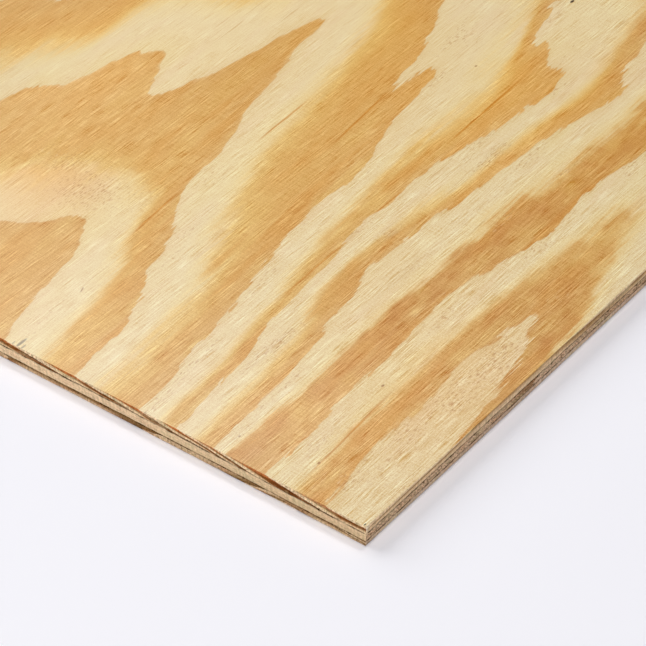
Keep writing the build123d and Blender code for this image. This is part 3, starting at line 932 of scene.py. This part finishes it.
def glue_face_material():
    """The hidden faces, where the veneers are glued."""
    g = Graph("glued_face")
    p = g.place()
    blot = g.noise(p, (0.02, 0.05, 1.0), detail=3.0)
    grain = g.noise(p, (0.002, 0.06, 1.0), detail=2.0)
    g.put(g.bsdf.inputs["Base Color"], g.ramp(blot + grain * 0.5 + 0.5, [(0.3, linear(120, 84, 50)), (0.7, linear(196, 160, 112))]))
    g.put(g.bsdf.inputs["Roughness"], 0.7 + grain * 0.2)
    g.bump(grain, 0.0002, 0.5)
    return g.mat


LONG_STOPS = [
    (0.00, linear(240, 210, 170)), (0.42, linear(238, 205, 162)), (0.58, linear(220, 182, 134)), (0.70, linear(194, 154, 106)), (0.90, linear(164, 124, 78)), (1.0, linear(142, 102, 60)),
]
BACK_END_STOPS = [
    (0.00, linear(220, 190, 150)), (0.36, linear(214, 182, 142)), (0.52, linear(190, 154, 114)), (0.66, linear(146, 112, 74)), (0.84, linear(130, 96, 58)), (1.0, linear(112, 82, 48)),
]
BACK_LONG_STOPS = [
    (0.00, linear(220, 193, 167)), (0.40, linear(208, 180, 152)), (0.70, linear(178, 148, 117)), (1.0, linear(146, 116, 88)),
]
CORE_LONG_STOPS = [
    (0.00, linear(243, 213, 171)), (0.18, linear(242, 211, 169)), (0.36, linear(227, 198, 155)), (0.62, linear(208, 174, 130)), (1.0, linear(188, 146, 100)),
]
CORE_END_STOPS = [
    (0.00, linear(218, 188, 156)), (0.30, linear(212, 180, 146)), (0.55, linear(198, 164, 128)), (0.68, linear(172, 134, 98)), (1.0, linear(150, 110, 76)),
]

hidden = glue_face_material()

# ---------------------------------------------------------------- the three veneers
FACE_EDGE = [(0.50, 0.00, 0.10), (0.20, 0.08, 0.08), (0.04, 0.30, 0.06), (0.0, 0.75, 0.07), (0.0, 1.6, 0.07), (0.0, 2.7, 0.07), (0.02, 3.8, 0.06), (0.22, 4.4, 0.06)]
CORE_EDGE = [(0.22, 0.0, 0.06), (0.03, 0.5, 0.06), (0.01, 1.5, 0.07), (0.01, 2.9, 0.07), (0.03, 3.9, 0.06), (0.22, 4.4, 0.06)]
BACK_EDGE = [(0.30, 0.00, 0.55), (0.08, 0.25, 0.36), (0.0, 0.6, 0.14), (0.0, 1.2, 0.07), (0.0, 1.9, 0.07), (0.03, 2.7, 0.06), (0.22, 3.1, 0.06)]

me = veneer("veneer_face", "face", X_FINE, Y_FINE, Z_FACE, Z_TOP, FACE_EDGE, 100)
x, y, z = corner_mm(me)
level, slope, steep = face_figure(x, y)
dip = np.interp(x, *np.array(FACE_DIP).T)
ring = level - dip * np.maximum(Z_TOP * 1000 - z - 0.12, 0)
# Two of the dark bands in the sawn end are thicker than the rest.
for middle, half, whole, more in ((-45, 12, 5, 0.34), (-113, 8, 2, 0.12)):
    inner = ((ring - whole - 0.22) / 0.14).clip(0, 1) * ((whole + 0.86 - ring) / 0.20).clip(0, 1)
    ring = ring + more * np.exp(-((x - middle) / half) ** 2) * inner * (z < Z_TOP * 1000 - 0.5) * (y < 1.5)
write(me, "ring", ring)
near = 1 - ((y - 262) / 50).clip(0, 1)
on_long = (x > -1.5) & (near > 0)
side = ring.copy()
side[on_long] = ring[on_long] * (1 - near[on_long]) + (face_long(y[on_long], z[on_long])[0] + 6.0) * near[on_long]
write(me, "side", side)
write(me, "slope", slope.clip(-0.03, 0.03))
write(me, "steep", steep.clip(-0.09, 0.09))
write(me, "ragged", raggedness(x, y))
write(me, "deep", np.interp(level, *np.array(DEEP).T) * (1 - elsewhere(x, y)) + 0.35 * elsewhere(x, y) * (0.5 + 0.5 * wavy(44, (700.0, 300.0))(x + 0.2 * y)).clip(0, 1) + 0.32 * np.exp(-(((x + 9) / 9) ** 2) - ((y - 146) / 46) ** 2))
write(me, "wild", elsewhere(x, y))
# Painted light falloff and painted sheen on the corner, random tone and pale bloom elsewhere.
painted_falloff_and_tone, painted_sheen_and_bloom = painted_light_and_tone(x, y)
write(me, "painted_falloff_and_tone", painted_falloff_and_tone)
write(me, "painted_sheen_and_bloom", painted_sheen_and_bloom)
write(me, "coarse", coarseness(x, y))
write(me, "speckled", np.maximum(patches(x, y, SPECKLED), elsewhere(x, y) * patches(x, y, scattered(11, 60, (3, 18), (15, 45), (0.4, 1.0)))))
write(me, "stained", np.maximum(patches(x, y, STAINED), elsewhere(x, y) * patches(x, y, scattered(12, 36, (3, 14), (15, 50), (0.3, 0.8)))))
write(me, "cool", patches(x, y, COOL) - (0.13 * ((y - 230) / 110).clip(0, 1) + 0.05 * ((y - 330) / 50).clip(0, 1)) * (1 - elsewhere(x, y)) - 0.07 * np.exp(-(((x + 282) / 40) ** 2) - ((y - 256) / 45) ** 2))
write(me, "fuzzy", patches(x, y, FUZZY))
write(me, "warm", sum(patches(x, y, [spot]) for spot in WARM))
write(me, "glow", sum(s * np.exp(-((x - cx) / rx) ** 2 - ((y - cy) / ry) ** 2) for cx, cy, rx, ry, s in GLOW))
write(me, "above", z - Z_FACE * 1000 - seam("upper", x, y))
# The pale chip at the corner, with a painted highlight down the corner's edge.
write(me, "chip_and_highlight", 0.8 * np.exp(-((x / 1.8) ** 2) - (y / 1.8) ** 2) * ((z - 8.2) / 1.6).clip(0, 1))
face = place(me, "face_veneer", [
    face_material(),
    end_material("face_end_grain", "x", ["above"], END_STOPS, 0.75, 84.0),
    edge_material("face_long_edge", "y", ["above"], LONG_STOPS, "side", 1.5, 0.35, True),
    hidden,
])

me = veneer("veneer_core", "core", X_COARSE, Y_COARSE, Z_CORE, Z_FACE, CORE_EDGE, 200)
x, y, z = corner_mm(me)
level = core_figure(x, y)[0]
write(me, "ring", level - 0.035 * (z - 5.3))
write(me, "above", z - Z_CORE * 1000 - seam("lower", x, y))
write(me, "below", Z_FACE * 1000 + seam("upper", x, y) - z)
core = place(me, "core_veneer", [
    hidden,
    edge_material("core_long_edge", "x", ["above", "below"], CORE_LONG_STOPS, "ring", 1.3, 0.30),
    end_material("core_end_grain", "y", ["above", "below"], CORE_END_STOPS, 0.0, -37.0, 1.35),
    hidden,
])

me = veneer("veneer_back", "back", X_COARSE, Y_COARSE, Z_BACK, Z_CORE, BACK_EDGE, 300)
x, y, z = corner_mm(me)
level, slope, _ = back_figure(x, y)
level = level - 0.05 * z
write(me, "side", 3.22 + 0.12 * wavy(71, (90.0, 33.0))(y) + 0.45 * ((1.3 - z) / 0.9).clip(-0.1, 1))
on_end = (y < 1.5) & (x > -240)
target = back_end(x[on_end], z[on_end])[0]
fade = ((x[on_end] + 240) / 30).clip(0, 1)
level[on_end] = level[on_end] * (1 - fade) + target * fade
write(me, "ring", level)
write(me, "slope", slope.clip(-0.03, 0.03))
write(me, "below", Z_CORE * 1000 + seam("lower", x, y) - z)
back = place(me, "back_veneer", [
    back_material(),
    end_material("back_end_grain", "x", ["below"], BACK_END_STOPS, 0.0, 84.0),
    edge_material("back_long_edge", "y", ["below"], BACK_LONG_STOPS, "side", 1.6, 0.7),
    hidden,
])


# ---------------------------------------------------------------- floor and light
def make_floor():
    me = bpy.data.meshes.new("floor")
    s = 60.0
    me.from_pydata([(-s, -s, 0), (s, -s, 0), (s, s, 0), (-s, s, 0)], [], [(0, 1, 2, 3)])
    ob = bpy.data.objects.new("floor", me)
    bpy.context.scene.collection.objects.link(ob)
    mat = bpy.data.materials.new("floor")
    mat.use_nodes = True
    bsdf = mat.node_tree.nodes["Principled BSDF"]
    bsdf.inputs["Base Color"].default_value = (0.95, 0.948, 0.978, 1)
    bsdf.inputs["Roughness"].default_value = 0.8
    bsdf.inputs["Specular IOR Level"].default_value = 0.1
    me.materials.append(mat)
    return ob


floor = make_floor()


def area_light(name, target, azimuth, elevation, distance, size, power, colour=(1, 1, 1)):
    """A square area light that faces target. Azimuth is the compass direction from the target to the light, from +X towards +Y."""
    a, e = math.radians(azimuth), math.radians(elevation)
    d = Vector((math.cos(a) * math.cos(e), math.sin(a) * math.cos(e), math.sin(e)))
    light = bpy.data.lights.new(name, "AREA")
    light.shape = "SQUARE"
    light.size = size
    light.energy = power
    light.color = colour
    ob = bpy.data.objects.new(name, light)
    bpy.context.scene.collection.objects.link(ob)
    ob.location = Vector(target) + d * distance
    ob.rotation_mode = "QUATERNION"
    ob.rotation_quaternion = d.to_track_quat("Z", "Y")
    ob.visible_camera = False
    return ob


# A small light overhead, a low soft key from the left, a small high one from behind and a low one in front.
LIT = (0.42, -1.05, 0)
WHITE = (1.0, 0.985, 0.99)
top = area_light("top", LIT, 286, 84.4, 5.0, 1.55, 44, WHITE)
key = area_light("key", LIT, 180, 36.4, 4.0, 3.2, 108, WHITE)
behind = area_light("behind", LIT, 89, 72.4, 5.0, 0.85, 45.5, WHITE)
front = area_light("front", LIT, 304, 31.3, 5.0, 2.5, 131, WHITE)

# The sky is a pale backdrop that gives little light of its own, and that bluish.
world = bpy.data.worlds.new("studio")
world.use_nodes = True
tree = world.node_tree
seen = tree.nodes.new("ShaderNodeLightPath")
backdrop, fill = tree.nodes["Background"], tree.nodes.new("ShaderNodeBackground")
either = tree.nodes.new("ShaderNodeMixShader")
backdrop.inputs["Color"].default_value, backdrop.inputs["Strength"].default_value = (1.0, 0.99, 1.0, 1), 0.84
fill.inputs["Color"].default_value, fill.inputs["Strength"].default_value = (0.65, 0.90, 1.55, 1), 0.026
tree.links.new(seen.outputs["Is Camera Ray"], either.inputs[0])
tree.links.new(fill.outputs[0], either.inputs[1])
tree.links.new(backdrop.outputs[0], either.inputs[2])
tree.links.new(either.outputs[0], tree.nodes["World Output"].inputs["Surface"])
bpy.context.scene.world = world
bpy.context.scene.view_settings.view_transform = "Standard"
bpy.context.scene.view_settings.look = "None"
